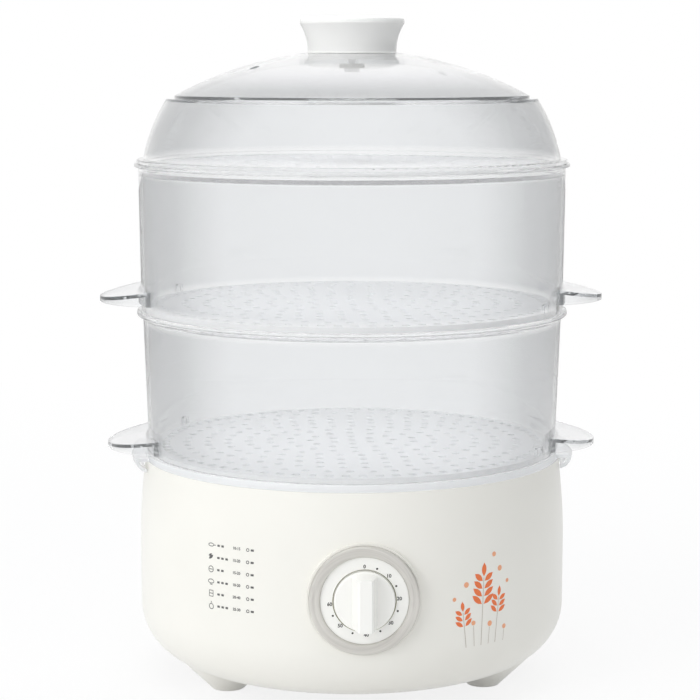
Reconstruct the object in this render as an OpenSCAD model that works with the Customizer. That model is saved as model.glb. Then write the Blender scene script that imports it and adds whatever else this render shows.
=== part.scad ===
// Electric food steamer with a mechanical timer.
// A white moulded base holds the water tank, the heater and the timer. A clear drip tray, two clear
// baskets with loose perforated floors, a perforated top plate and a domed lid stack on the base.
// Origin: on the vertical axis, at the height of the table. Front (dial) towards -Y, handles on X.

/* [Base housing] */
// Radius of the base housing at its widest
base_r = 119; // [112:1:145]
// Height of the housing's top edge above the table
base_h = 123.4; // [114:0.2:145]
// How far the wall draws in between the widest place and the top edge
base_draw_in = 3.3; // [1:0.1:5]
// Height above the table at which the wall starts to draw in
base_draw_z = 75; // [60:1:85]
// Radius of the round lower edge
base_corner_r = 30; // [24:1:36]
// Wall of the housing
base_wall = 2.5; // [2:0.1:3]
// Height of the housing's underside above the table
foot_gap = 11; // [9:0.5:14]

/* [Feet and bottom cover] */
// Radius of a foot where it meets its rubber pad
foot_r = 9; // [8:0.5:11]
// Distance of each foot from the vertical axis
foot_place_r = 82; // [78:1:86]
// Angle of each foot, away from the front and from the back
foot_angle = 59; // [45:1:65]
// How far a rubber pad stands out below its foot
pad_proud = 0.8; // [0.5:0.1:1.5]
// Radius of a rubber pad
pad_r = 6.5; // [5:0.5:7]
// Radius of the bottom cover
cover_r = 75; // [70:1:78]
// Thickness of the bottom cover
cover_t = 2; // [1.6:0.1:2.6]
// Number of air slots in the bottom cover
cover_slots = 12; // [6:1:18]

/* [Water tank and heater] */
// Wall of the water tank
tank_wall = 2; // [1.6:0.1:2.6]
// Depth below the housing's top edge at which the tank steps in
tank_step = 26.5; // [24:0.5:30]
// Inner radius of the tank's deep part
tank_low_r = 84; // [74:1:90]
// Height of the bay between the housing's underside and the tank
heater_bay = 34.8; // [34:0.2:40]
// Radius of the heating plate's face in the tank
plate_r = 37; // [32:1:42]
// Radius of the ring on which the heating tube is wound
element_ring_r = 27; // [24:1:30]
// Radius of the heating tube
element_tube_r = 4; // [3:0.5:5]
// Height of the steam ring
steam_ring_h = 48; // [34:1:50]
// Radius of the steam ring at its foot
steam_ring_r = 52; // [48:1:58]

/* [Timer] */
// Radius of the silver bezel
bezel_r = 28.5; // [26:0.5:32]
// Radius of the white dial plate
dial_r = 22.7; // [20:0.1:24]
// Radius of the timer knob
knob_r = 15.7; // [14:0.1:17]
// Height of the knob's grip above the dial plate
grip_h = 13.5; // [10:0.5:16]
// Width of the knob's grip at its root
grip_w = 13; // [9:0.5:15]
// Side of the timer's square case
timer_side = 38; // [34:1:40]
// Depth of the timer's case
timer_depth = 23; // [20:1:24]
// Radius of the timer shaft
shaft_r = 3; // [2.5:0.1:3.5]

/* [Drip tray] */
// Wall of the clear parts
clear_wall = 2.2; // [1.8:0.1:2.8]
// Depth of the drip tray's floor below its flange
tray_depth = 17.5; // [14:0.5:20]
// Outer radius of the steam chimney in the drip tray
chimney_r = 33; // [28:1:40]
// Height of the lip that stands round the lower basket's foot
tray_lip_h = 2.2; // [1.6:0.1:4]
// How far each ear stands out from the tray's flange
ear_reach = 7.6; // [6:0.2:11]

/* [Baskets] */
// Height of the lower basket
lower_h = 80; // [60:0.5:100]
// Height of the upper basket
upper_h = 82.8; // [60:0.2:105]
// How far the lower basket's wall widens from foot to rim
lower_flare = 2.4; // [1:0.1:4]
// How far the upper basket's wall widens from foot to rim
upper_flare = 1; // [0.6:0.1:4]
// How far the lower basket's rim stands out from its wall
lower_rim_out = 3.3; // [3:0.1:4]
// How far the upper basket's rim stands out from its wall
upper_rim_out = 2.4; // [2:0.1:4]
// Depth of the rebate in the lower basket's rim
lower_rim_depth = 2.2; // [1.8:0.1:3]
// Depth of the rebate in the upper basket's rim
upper_rim_depth = 2.8; // [2.8:0.1:4]
// Width of the ledge inside the upper basket's rim
rim_ledge_w = 2.8; // [2.4:0.1:4]
// Height of the lower basket's perforated floor above its foot
lower_floor_rise = 4.8; // [4.8:0.1:8]
// Height of the upper basket's perforated floor above its foot
upper_floor_rise = 4.8; // [4.8:0.1:10]
// Gap between the lower basket's handles and the lip below them
lower_handle_gap = 1.1; // [0.4:0.1:6]
// Gap between the upper basket's handles and the rim below them
upper_handle_gap = 4.7; // [0.4:0.1:8]
// Length of a handle along the basket
handle_len = 78; // [70:1:96]
// How far a handle stands out from the basket's foot
handle_reach = 23; // [18:0.2:28]
// Depth of a handle at its tip
handle_edge = 3; // [2.8:0.1:5]
// Slope of a handle's top, rising towards the basket
handle_slope = 10; // [2:1:14]

/* [Perforated floors] */
// Thickness of a perforated floor
floor_t = 1.8; // [1.4:0.1:2.4]
// Depth of the rim round a perforated floor
floor_rim = 3; // [2.6:0.1:4]
// Width of the ledge that carries a perforated floor
ledge_w = 4.2; // [3:0.1:5]
// Radius of the steam holes
hole_r = 2.3; // [1.5:0.1:2.6]
// Distance between rings of steam holes
hole_pitch = 11.6; // [11:0.1:14]
// Distance between the slots of the outer ring
slot_pitch = 8.6; // [8:0.1:12]

/* [Lid] */
// Height of the lid's shoulder above its flange's underside
lid_side_h = 34.7; // [30:0.1:44]
// How far the lid's side draws in from flange to shoulder
lid_side_in = 13.1; // [10:0.1:20]
// Radius of the arc of the lid's side
lid_side_r = 95; // [80:1:160]
// Width of the ledge round the dome
lid_ledge_w = 4.5; // [3:0.1:7]
// Height of the step from the ledge up to the dome
lid_step_h = 1.7; // [1:0.1:3]
// Rise of the dome above its own edge
dome_rise = 24.9; // [18:0.1:32]
// Thickness of the lid's flange
lid_flange_t = 2; // [1.6:0.1:2.6]
// Radius of each steam vent in the lid
vent_r = 2.5; // [1.5:0.1:3]

/* [Lid knob] */
// Radius of the lid knob's foot
lid_knob_foot_r = 26.5; // [22:0.5:28]
// Radius of the lid knob's waist
lid_knob_waist_r = 24.5; // [20:0.1:25.5]
// Radius of the lid knob's head
lid_knob_head_r = 28.8; // [22:0.1:32]
// Height of the lid knob
lid_knob_h = 24.5; // [20:0.5:28]
// How deep the lid knob's seat is sunk into the dome
lid_knob_sink = 4.2; // [1.6:0.1:6]

/* [Cord entry] */
// Radius of the hole that takes the mains cord
cord_hole_r = 3.6; // [3:0.1:4]
// Height of the cord gland above the table
gland_z = 56; // [54:1:68]

/* [Hidden] */
$fn = 96;

// Overshoot of a cutting tool past the face that it leaves
cut = 1;
// Gap left under a part that is stood on another
seat = 0.2;
// Radial clearance of parts that slide into each other
slip = 0.4;
// Radial clearance of pressed and screwed parts
snug = 0.1;
// Radial clearance of the turning shaft
running = 0.05;

// Base housing
base_top_r = base_r - base_draw_in;
base_draw_span = base_h - base_draw_z;
base_draw_r = (base_draw_span * base_draw_span + base_draw_in * base_draw_in) / (2 * base_draw_in);
base_corner_c = [base_r - base_corner_r, foot_gap + base_corner_r];
foot_bottom = pad_proud;
foot_h = 20;
foot_slope_r = base_corner_c[0] + base_corner_r * (2 * sin(45) - 1) - foot_gap;
foot_places = [for (side = [-1, 1], end = [-1, 1]) [side * sin(foot_angle), end * cos(foot_angle)]];
pad_sunk = 1.4;
cover_seat_w = 9;
cover_seat_t = 2.4;
cover_screw_r = cover_r - 5;
cover_places = [60, 120, 240, 300];
cover_top = foot_gap + cover_t + 2 * snug;
cover_boss_r = 3.6;
cover_boss_h = 12;
screw_r = 1.5;
screw_head_r = 2.9;
screw_head_h = 1.8;

// Water tank
tank_flange_t = 2.4;
tank_flange_r = base_top_r - base_wall - 3 * snug;
tank_r = base_top_r - 6.3;
tank_top = base_h;
tank_step_z = base_h - tank_step;
tank_floor = foot_gap + heater_bay;
tank_corner_r = 9;
tank_ledge_r = tank_r + tank_wall + snug + 0.1;

// Heater
heater_hole_r = plate_r + 1;
heater_flange_r = plate_r + 17;
heater_screw_r = plate_r + 13;
seal_t = 1.6;
heater_flange_t = 2.4;
heater_flange_z = tank_floor - seal_t - heater_flange_t;
heater_face_z = tank_floor + tank_wall + 1.5;
heater_places = [0, 90, 180, 270];
element_z = heater_flange_z - element_tube_r + 1.2;
element_span = 300;
leg_z = element_z - 8;
leg_places = [for (side = [-1, 1])
    [element_ring_r * sin(180 - element_span / 2) * side, -element_ring_r * cos(180 - element_span / 2)]];
pin_len = 6;
pin_r = 1.2;
thermostat_r = 8;
thermostat_h = 9;
thermostat_flange_r = 11;
thermostat_z = heater_flange_z + 1.4 - thermostat_h;
blade_len = 7;
clip_t = 1;
clip_w = 12;
fuse_r = 2;
fuse_len = 14;
fuse_x = 24;
fuse_z = thermostat_z - clip_t - fuse_r - 0.1;

// Drip tray
tray_z = base_h + seat;
tray_flange_t = 1.8;
tray_flange_r = base_top_r + 0.2;
tray_r = tank_r - 0.6;
tray_wall = 1.8;
tray_floor_z = tray_z - tray_depth;
tray_corner_r = 5;
chimney_h = 13;
ear_span = 26;
ear_gap = 1.2;

// Steam ring
steam_ring_z = tank_floor + tank_wall + seat;
steam_ring_top_r = 31;

// Baskets
lower_z = tray_z + tray_flange_t + seat;
lower_foot_r = tray_flange_r - tray_wall - slip;
lower_rim_r = lower_foot_r + lower_flare + lower_rim_out;
lower_seat_r = lower_rim_r - clear_wall;
lower_seat_z = lower_z + lower_h - lower_rim_depth;
upper_z = lower_seat_z + seat;
upper_foot_r = lower_seat_r - slip + 0.1;
upper_rim_r = upper_foot_r + upper_flare + upper_rim_out;
upper_seat_r = upper_foot_r + upper_flare - clear_wall + slip;
upper_seat_z = upper_z + upper_h - upper_rim_depth;
lower_rim_t = 2.3;
lower_rim_slope = 2.4;
upper_rim_t = 1.7;
upper_rim_slope = 0.7;
rim_ledge_t = 1.2;
catch_w = 6;
catch_h = 4.6;
catch_t = 1;
catch_angles = [-30, 150];

// Lid and top plate
lid_z = upper_seat_z + upper_rim_depth + seat;
lid_lip_r = upper_seat_r - slip;
lid_flange_r = upper_rim_r - 1.6;
lid_foot_r = lid_flange_r - 3.5;
lid_shoulder_r = lid_foot_r - lid_side_in;
dome_edge_r = lid_shoulder_r - lid_ledge_w;
dome_edge_z = lid_z + lid_side_h + lid_step_h;
dome_r = (dome_edge_r * dome_edge_r + dome_rise * dome_rise) / (2 * dome_rise);
dome_c = [0, dome_edge_z + dome_rise - dome_r];
top_flange_t = 1.2;
top_plate_z = upper_seat_z + seat;
top_sheet_z = lid_z - 0.6;

// Lid knob
knob_recess_r = lid_knob_foot_r + clear_wall + slip;
knob_seat_z = dome_c[1] + sqrt(dome_r * dome_r - knob_recess_r * knob_recess_r) - lid_knob_sink;
knob_z = knob_seat_z + snug;
lid_knob_wall = 2.6;
lid_knob_band_h = 5;
lid_knob_round = 3;
lid_screw_r = 2;
washer_t = 1.5;

// Timer
timer_headroom = 7.4;
timer_z = tank_step_z - tank_wall - timer_side / 2 - timer_headroom;
dial_front = base_r + 0.4;
dial_floor = dial_front - 3;
boss_r = bezel_r + 1.2;
boss_back = dial_floor - 2.4;
bezel_front = dial_front + 2.6;
dial_face = dial_front + 1.2;
dial_t = 1.9;
dial_well_r = knob_r + 0.7;
dial_well = 0.8;
knob_back = dial_face - dial_well + 0.3;
bush_r = 4.8;
shaft_len = 30;
bell_r = 10;
timer_screw_x = 12;
timer_blade_x = timer_side / 2 - 3;
timer_blade_y = -boss_back + timer_depth / 2;
timer_blade_z = timer_z - timer_side / 2 - 6;

// Terminal block and wires
block_size = [26, 11, 10];
block_y = cover_r - cover_seat_w + 1;
block_z = cover_top + cover_seat_t;
wire_r = 1.1;
wire_sides = 8;
wire_run_r = heater_flange_r + 7;
wire_run_z = heater_flange_z - 11;

// Cord entry
gland_face = base_r + 0.3;
gland_flange_r = 9;
gland_flange_t = 3;
gland_collar_r = 6.5;
gland_collar_h = 2.6;
gland_neck_r = 6;
gland_relief_r = cord_hole_r + 0.8;
gland_grip_h = 4.6;

// Number of holes that fit round a ring
function ring_count(r, pitch) = floor(2 * PI * r / pitch);

// Centre of the arc of a given radius that bulges outwards from p to q
function arc_centre(p, q, r) =
    let (half = (q - p) / 2, reach = sqrt(r * r - half * half) / norm(half))
    (p + q) / 2 + [-half[1], half[0]] * reach;

// Points on a level arc about the vertical axis
function arc_path(r, from, to, z, count) =
    [for (i = [0 : count]) let (a = from + (to - from) * i / count) [r * cos(a), r * sin(a), z]];

// Direction of a path at one of its points
function path_way(path, i) =
    let (way = path[min(i + 1, len(path) - 1)] - path[max(i - 1, 0)]) way / norm(way);

// Round tube along a path, as one closed mesh
module wire(path) {
    last = len(path) - 1;
    points = [for (i = [0 : last]) let (way = path_way(path, i), across = cross(way, [0, 0, 1]),
                                         side = across / norm(across), up = cross(side, way))
              for (j = [0 : wire_sides - 1])
                  path[i] + wire_r * (side * cos(360 * j / wire_sides) + up * sin(360 * j / wire_sides))];
    walls = [for (i = [0 : last - 1], j = [0 : wire_sides - 1])
             let (a = i * wire_sides + j, b = i * wire_sides + (j + 1) % wire_sides)
             each [[a, b, b + wire_sides], [a, b + wire_sides, a + wire_sides]]];
    ends = [[for (j = [wire_sides - 1 : -1 : 0]) j],
            [for (j = [0 : wire_sides - 1]) last * wire_sides + j]];
    polyhedron(points, concat(walls, ends));
}

// Part of a ring in a profile, kept where it lies between two corners
module arc_band(c, outer, inner, low, high) {
    intersection() {
        translate(c) difference() {
            circle(r = outer, $fn = 360);
            circle(r = inner, $fn = 360);
        }
        translate(low) square(high - low);
    }
}

// Rectangle between two corners
module span_box(low, high) {
    translate(low) square(high - low);
}

// Cylinder along Y from one depth to another, at a height
module rod_y(r, y0, y1, x = 0, z = 0) {
    translate([x, max(y0, y1), z]) rotate([90, 0, 0]) cylinder(r = r, h = abs(y1 - y0));
}

// Copies of a child on a circle
module on_circle(r, angles) {
    for (angle = angles) rotate(angle) translate([r, 0, 0]) children();
}

// Screw with its head below its thread, standing upwards from z = 0
module screw_up(shank, head, head_h, length) {
    translate([0, 0, -head_h]) cylinder(r = head, h = head_h);
    cylinder(r = shank, h = length);
}

// Housing outline as a profile, drawn in by an inset
module base_outline(inset, top) {
    intersection() {
        union() {
            span_box([0, foot_gap + inset], [base_corner_c[0], top]);
            span_box([0, base_corner_c[1]], [base_r - inset, top]);
            translate(base_corner_c) circle(r = base_corner_r - inset, $fn = 180);
        }
        union() {
            span_box([0, 0], [base_r, base_draw_z]);
            translate([base_r - base_draw_r, base_draw_z]) circle(r = base_draw_r - inset, $fn = 720);
        }
    }
}

// One moulded foot: its outer side carries on the slope of the housing's round edge
module foot() {
    translate([0, 0, foot_bottom]) cylinder(r1 = foot_r, r2 = foot_r + foot_h, h = foot_h);
}

module feet() {
    intersection() {
        union() for (place = foot_places) translate(place * foot_place_r) foot();
        cylinder(r1 = foot_slope_r, r2 = foot_slope_r + foot_h + foot_bottom, h = foot_h + foot_bottom);
    }
}

// Wall of the housing in profile, with the tank's ledge and the bottom cover's seat
module housing_profile() {
    difference() {
        base_outline(0, base_h);
        base_outline(base_wall, base_h + cut);
        span_box([-cut, 0], [cover_r - cover_seat_w, foot_gap + 2 * base_wall]);
    }
    intersection() {
        span_box([tank_ledge_r, base_h - tank_flange_t - 3], [base_r, base_h - tank_flange_t]);
        base_outline(base_wall / 2, base_h);
    }
    span_box([cover_r - cover_seat_w, foot_gap], [cover_r + 4, cover_top + cover_seat_t]);
}

// The feet outside the housing's wall, bored for their pads and cut clear of the bottom cover
module clipped_feet() {
    difference() {
        feet();
        rotate_extrude() base_outline(base_wall, base_h + cut);
        translate([0, 0, foot_gap - cut]) cylinder(r = cover_r + 2 * snug, h = cover_top - foot_gap + cut);
        translate([0, 0, foot_gap - cut]) cylinder(r = cover_r - cover_seat_w, h = foot_h);
        for (place = foot_places) translate(place * foot_place_r)
            cylinder(r = pad_r + snug, h = foot_bottom + pad_sunk);
    }
}

// White moulded shell with feet, dial recess, screw bosses and cord entry
module base_housing() {
    boss_z = cover_top + cover_seat_t / 2;
    color("#f3f2ee") {
        difference() {
            union() {
                rotate_extrude() housing_profile();
                rod_y(boss_r, -dial_front, -boss_back, 0, timer_z);
                rod_y(gland_flange_r + 2, gland_face, base_r - base_wall - 2, 0, gland_z);
                on_circle(cover_screw_r, cover_places) translate([0, 0, boss_z])
                    cylinder(r = cover_boss_r, h = cover_boss_h);
            }
            translate([0, 0, foot_gap - cut])
                cylinder(r = cover_r + 2 * snug, h = cover_top - foot_gap + cut);
            on_circle(cover_screw_r, cover_places)
                cylinder(r = screw_r + snug, h = boss_z + cover_boss_h - 2);
            rod_y(bezel_r + snug, -dial_front - cut, -dial_floor, 0, timer_z);
            rod_y(bush_r + snug, -dial_front, -boss_back + cut, 0, timer_z);
            for (side = [-1, 1])
                rod_y(screw_r + snug, -dial_front, -boss_back + cut, side * timer_screw_x, timer_z);
            rod_y(gland_neck_r + snug, gland_face + cut, base_r - 12, 0, gland_z);
        }
        clipped_feet();
    }
}

// Rubber pads pressed into the feet
module foot_pads() {
    color("#8d8d8a") for (place = foot_places) translate(place * foot_place_r) {
        cylinder(r1 = pad_r - 0.5, r2 = pad_r, h = 0.5);
        translate([0, 0, 0.5]) cylinder(r = pad_r, h = foot_bottom + pad_sunk - 0.5);
    }
}

// Flat plastic cover under the heater bay, with radial air slots and a stiffening ring
module bottom_cover() {
    slot_in = 30;
    slot_out = 56;
    color("#eeede9") translate([0, 0, foot_gap + snug]) difference() {
        union() {
            cylinder(r = cover_r, h = cover_t);
            rotate_extrude() span_box([cover_r - cover_seat_w - 3, 0], [cover_r - cover_seat_w - 1, 6]);
            rotate_extrude() span_box([slot_in - 6, 0], [slot_in - 4, 6]);
        }
        for (i = [0 : cover_slots - 1]) rotate((i + 0.5) * 360 / cover_slots) {
            translate([slot_in, -1.5, -cut]) cube([slot_out - slot_in, 3, cover_t + 2 * cut]);
            for (end = [slot_in, slot_out])
                translate([end, 0, -cut]) cylinder(r = 1.5, h = cover_t + 2 * cut, $fn = 24);
        }
        on_circle(cover_screw_r, cover_places) translate([0, 0, -cut])
            cylinder(r = screw_r + 2 * snug, h = cover_t + 2 * cut);
    }
}

// Four screws that hold the bottom cover
module cover_screws() {
    color("#9a9a9c") on_circle(cover_screw_r, cover_places)
        translate([0, 0, foot_gap]) difference() {
            screw_up(screw_r, screw_head_r, screw_head_h, 11);
            translate([-0.5, -2, -screw_head_h - cut]) cube([1, 4, cut + 0.9]);
            translate([-2, -0.5, -screw_head_h - cut]) cube([4, 1, cut + 0.9]);
        }
}

// White tank: a wide collar for the drip tray over a deep well with the heater in its floor
module tank_profile() {
    low = tank_low_r;
    wall = tank_wall;
    low_outer = low + wall;
    corner_c = [low - tank_corner_r, tank_floor + wall + tank_corner_r];
    span_box([tank_r, tank_top - tank_flange_t], [tank_flange_r, tank_top]);
    span_box([tank_r, tank_step_z], [tank_r + wall, tank_top]);
    span_box([low, tank_step_z - wall], [tank_r + wall, tank_step_z]);
    span_box([low, corner_c[1]], [low_outer, tank_step_z]);
    arc_band(corner_c, tank_corner_r + wall, tank_corner_r,
             [corner_c[0], corner_c[1] - tank_corner_r - wall], [low_outer, corner_c[1]]);
    span_box([heater_hole_r, tank_floor], [corner_c[0], tank_floor + wall]);
}

module water_tank() {
    color("#f0efeb") difference() {
        union() {
            rotate_extrude() tank_profile();
            on_circle(heater_screw_r, heater_places) translate([0, 0, tank_floor - seal_t])
                cylinder(r = 4, h = seal_t + 4.5);
        }
        on_circle(heater_screw_r, heater_places) translate([0, 0, tank_floor - seal_t - cut])
            cylinder(r = screw_r + snug, h = seal_t + cut + 3.6);
    }
}

// Flat silicone ring between tank and heater
module heater_seal() {
    color("#c96a4a") translate([0, 0, tank_floor - seal_t]) difference() {
        cylinder(r = heater_screw_r - 4.5, h = seal_t);
        translate([0, 0, -cut]) cylinder(r = heater_hole_r - 0.5, h = seal_t + 2 * cut);
    }
}

// Heating plate: a raised face in the tank on a flange that is screwed up against the seal
module heating_plate() {
    color("#b9bbbd") difference() {
        union() {
            translate([0, 0, heater_flange_z]) cylinder(r = heater_flange_r, h = heater_flange_t);
            rotate_extrude() {
                span_box([0, heater_flange_z], [plate_r, heater_face_z - 2]);
                span_box([0, heater_face_z - 2], [plate_r - 2, heater_face_z]);
                translate([plate_r - 2, heater_face_z - 2]) circle(r = 2, $fn = 48);
            }
        }
        translate([0, 0, heater_flange_z - cut]) cylinder(r = thermostat_flange_r + 1, h = cut + 1.5);
        on_circle(heater_screw_r, heater_places) translate([0, 0, heater_flange_z - cut])
            cylinder(r = screw_r + 2 * snug, h = heater_flange_t + 2 * cut);
    }
}

// Heating tube wound under the plate, flattened where it touches, with two bent-down legs
module heating_element() {
    top = heater_flange_z;
    color("#7d7f82") difference() {
        union() {
            translate([0, 0, element_z]) rotate(270 - element_span / 2 + 180)
                rotate_extrude(angle = element_span)
                    translate([element_ring_r, 0]) circle(r = element_tube_r);
            for (place = leg_places) translate([place[0], place[1], leg_z]) {
                cylinder(r = element_tube_r, h = top - leg_z + 1);
                translate([0, 0, -pin_len]) cylinder(r = pin_r, h = pin_len + 1);
            }
        }
        translate([-base_r, -base_r, top]) cube([2 * base_r, 2 * base_r, 10]);
    }
}

// Four screws that hold the heating plate, two of them through the thermostat's clip
module heater_screws() {
    color("#9a9a9c") for (i = [0 : 3]) rotate(heater_places[i])
        translate([heater_screw_r, 0, heater_flange_z - (i % 2 == 0 ? clip_t : 0)])
            screw_up(screw_r, screw_head_r, screw_head_h, 7);
}

// Snap-disc thermostat in the pocket under the heating plate
module thermostat() {
    color("#d9d6cf") translate([0, 0, thermostat_z]) {
        cylinder(r = thermostat_r, h = thermostat_h);
        translate([0, 0, thermostat_h - 1.6]) cylinder(r = thermostat_flange_r, h = 1.6);
        for (side = [-1, 1]) translate([side * 4 - 0.4, -3, -blade_len]) cube([0.8, 6, blade_len + 0.5]);
    }
}

// Spring strip that presses the thermostat up and carries the thermal fuse
module thermostat_clip() {
    z = thermostat_z - clip_t;
    leg_x = heater_screw_r - 7;
    color("#a9abad") difference() {
        union() {
            translate([-leg_x, -clip_w / 2, z]) cube([2 * leg_x, clip_w, clip_t]);
            for (side = [-1, 1]) {
                translate([side * (leg_x - clip_t / 2) - clip_t / 2, -clip_w / 2, z])
                    cube([clip_t, clip_w, heater_flange_z - z]);
                translate([side * (leg_x + 5.5) - 6.5, -clip_w / 2, heater_flange_z - clip_t])
                    cube([13, clip_w, clip_t]);
                translate([fuse_x - fuse_len / 4, side * (fuse_r + 0.6) - 0.5, z - 2 * fuse_r])
                    cube([fuse_len / 2, 1, 2 * fuse_r + clip_t / 2]);
            }
        }
        translate([-5.5, -4, z - cut]) cube([11, 8, clip_t + 2 * cut]);
        for (side = [-1, 1]) translate([side * heater_screw_r, 0, heater_flange_z - clip_t - cut])
            cylinder(r = screw_r + snug, h = clip_t + 2 * cut);
    }
}

// Thermal fuse held between the clip's cheeks
module thermal_fuse() {
    color("#e4e1da") translate([fuse_x, 0, fuse_z]) rotate([0, 90, 0]) {
        cylinder(r = fuse_r, h = fuse_len, center = true);
        cylinder(r = 0.5, h = fuse_len + 8, center = true);
    }
}

// Loose ring round the heating plate that keeps a little water on it
module steam_ring() {
    wall = 1.8;
    taper = steam_ring_r - steam_ring_top_r;
    shoulder = 16;
    color("#eceae6") translate([0, 0, steam_ring_z]) difference() {
        rotate_extrude() polygon([
            [steam_ring_r - wall, 0], [steam_ring_r, 0], [steam_ring_r, shoulder],
            [steam_ring_top_r + 2, shoulder + taper - 2], [steam_ring_top_r, steam_ring_h],
            [steam_ring_top_r - wall, steam_ring_h],
            [steam_ring_top_r + 2 - wall, shoulder + taper - 2.5], [steam_ring_r - wall, shoulder - 0.7]
        ]);
        for (angle = [0 : 45 : 315]) rotate(angle) translate([steam_ring_r - 4, -4.8, -cut])
            cube([8, 9.6, 6 + cut]);
    }
}

// Silver ring round the dial
module timer_bezel() {
    color("#bfbcba") translate([0, 0, timer_z]) rotate([90, 0, 0]) rotate_extrude() {
        inner = dial_r + snug;
        outer = bezel_r;
        span_box([inner, dial_floor], [outer, bezel_front - 1.2]);
        span_box([inner + 1.2, dial_floor], [outer - 1.2, bezel_front]);
        translate([inner + 1.2, bezel_front - 1.2]) circle(r = 1.2, $fn = 32);
        translate([outer - 1.2, bezel_front - 1.2]) circle(r = 1.2, $fn = 32);
    }
}

// White dial plate: a shallow cap with a well in which the knob turns
module dial_plate() {
    color("#f6f5f2") translate([0, 0, timer_z]) rotate([90, 0, 0]) rotate_extrude() difference() {
        union() {
            span_box([0, dial_face - dial_t - dial_well], [dial_r, dial_face]);
            span_box([dial_r - 2, dial_floor], [dial_r, dial_face]);
        }
        span_box([-cut, 0], [shaft_r + 1.2, base_r * 2]);
        span_box([-cut, dial_face - dial_well], [dial_well_r, dial_face + cut]);
    }
}

// Steel case of the clockwork, with its mounting bush
module timer_body() {
    color("#c4c6c8") difference() {
        union() {
            translate([-timer_side / 2, -boss_back, timer_z - timer_side / 2])
                cube([timer_side, timer_depth, timer_side]);
            rod_y(bush_r, -dial_floor - 1.2, -boss_back, 0, timer_z);
            for (side = [-1, 1]) translate([side * timer_blade_x - 0.4, timer_blade_y - 3, timer_blade_z])
                cube([0.8, 6, timer_z - timer_side / 2 - timer_blade_z + 1]);
        }
        rod_y(shaft_r + running, -dial_face, -boss_back + 12, 0, timer_z);
        for (side = [-1, 1])
            rod_y(screw_r + snug, -dial_face, -boss_back + 6, side * timer_screw_x, timer_z);
    }
}

// Bell cup under the clockwork
module timer_bell() {
    top = timer_z - timer_side / 2;
    bell_h = 7;
    color("#b7a06a") translate([0, -boss_back + timer_depth / 2, top]) {
        rotate([180, 0, 0]) rotate_extrude() {
            span_box([0, 0], [2, 4]);
            difference() {
                union() {
                    span_box([0, 3], [bell_r - 3, 3 + bell_h]);
                    span_box([0, 6], [bell_r, 3 + bell_h]);
                    translate([bell_r - 3, 6]) circle(r = 3, $fn = 48);
                }
                span_box([-cut, 4], [bell_r - 3, 4 + bell_h + cut]);
                span_box([-cut, 6], [bell_r - 1, 4 + bell_h + cut]);
                translate([bell_r - 3, 6]) circle(r = 2, $fn = 48);
            }
        }
    }
}

// Two screws that hold the clockwork behind the dial plate
module timer_screws() {
    color("#9a9a9c") for (side = [-1, 1]) {
        rod_y(screw_r, -dial_floor, -boss_back + 5, side * timer_screw_x, timer_z);
        rod_y(screw_head_r, -dial_floor - 1.1, -dial_floor, side * timer_screw_x, timer_z);
    }
}

// Timer shaft with a flat for the knob
module timer_shaft() {
    inner_end = boss_back - 11.5;
    outer_end = inner_end + shaft_len;
    color("#b0b2b4") difference() {
        rod_y(shaft_r, -outer_end, -inner_end, 0, timer_z);
        translate([-shaft_r, -outer_end - cut, timer_z - shaft_r - cut])
            cube([2 * shaft_r, outer_end - knob_back + 2 * cut, cut + 0.8]);
    }
}

// Timer knob: a round skirt with a tapered grip across it, pointing up at rest
module timer_knob() {
    skirt_h = 3.4;
    skirt_front = knob_back + skirt_h;
    grip_front = knob_back + grip_h;
    grip_top_w = grip_w - 5;
    bore_end = boss_back - 11.5 + shaft_len + 0.3;
    color("#f7f6f3") difference() {
        union() {
            translate([0, 0, timer_z]) rotate([90, 0, 0]) rotate_extrude() {
                span_box([0, knob_back], [knob_r, skirt_front - 1]);
                span_box([0, knob_back], [knob_r - 1, skirt_front]);
                translate([knob_r - 1, skirt_front - 1]) circle(r = 1, $fn = 32);
            }
            intersection() {
                translate([0, 0, timer_z - knob_r]) linear_extrude(2 * knob_r) polygon([
                    [-grip_w / 2, -knob_back - 1], [grip_w / 2, -knob_back - 1],
                    [grip_w / 2, -skirt_front], [grip_top_w / 2, -grip_front + 1],
                    [grip_top_w / 2 - 1, -grip_front], [-grip_top_w / 2 + 1, -grip_front],
                    [-grip_top_w / 2, -grip_front + 1], [-grip_w / 2, -skirt_front]
                ]);
                translate([0, -knob_back, timer_z]) rotate([90, 0, 0])
                    cylinder(r1 = knob_r - 0.4, r2 = knob_r - 1.8, h = grip_h);
            }
        }
        difference() {
            rod_y(shaft_r + running, -bore_end, -knob_back + cut, 0, timer_z);
            translate([-base_r, -base_r * 2, timer_z - shaft_r - cut])
                cube([2 * base_r, 2 * base_r, cut + 0.8 - running]);
        }
    }
}

// Flanged bush in the back wall: the mains cord goes in here. Its collar grips the cord outside the
// wall, and its neck is bored wider, so that the cord can bend inside
module cord_gland() {
    inner = base_r - base_wall - 9;
    outer = gland_face + gland_flange_t + gland_collar_h;
    grip_end = outer - gland_grip_h;
    color("#ececea") difference() {
        union() {
            rod_y(gland_collar_r, outer, gland_face, 0, gland_z);
            rod_y(gland_flange_r, gland_face + gland_flange_t, gland_face, 0, gland_z);
            rod_y(gland_neck_r, gland_face, inner, 0, gland_z);
        }
        rod_y(cord_hole_r, outer + cut, grip_end - cut, 0, gland_z);
        rod_y(gland_relief_r, grip_end, inner - cut, 0, gland_z);
    }
}

// Hexagon nut that clamps the gland from inside
module gland_nut() {
    outer = base_r - base_wall - 2;
    color("#ececea") difference() {
        translate([0, outer, gland_z]) rotate([90, 0, 0]) cylinder(r = gland_flange_r, h = 4, $fn = 6);
        rod_y(gland_neck_r + snug, outer + cut, outer - 4 - cut, 0, gland_z);
    }
}

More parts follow.
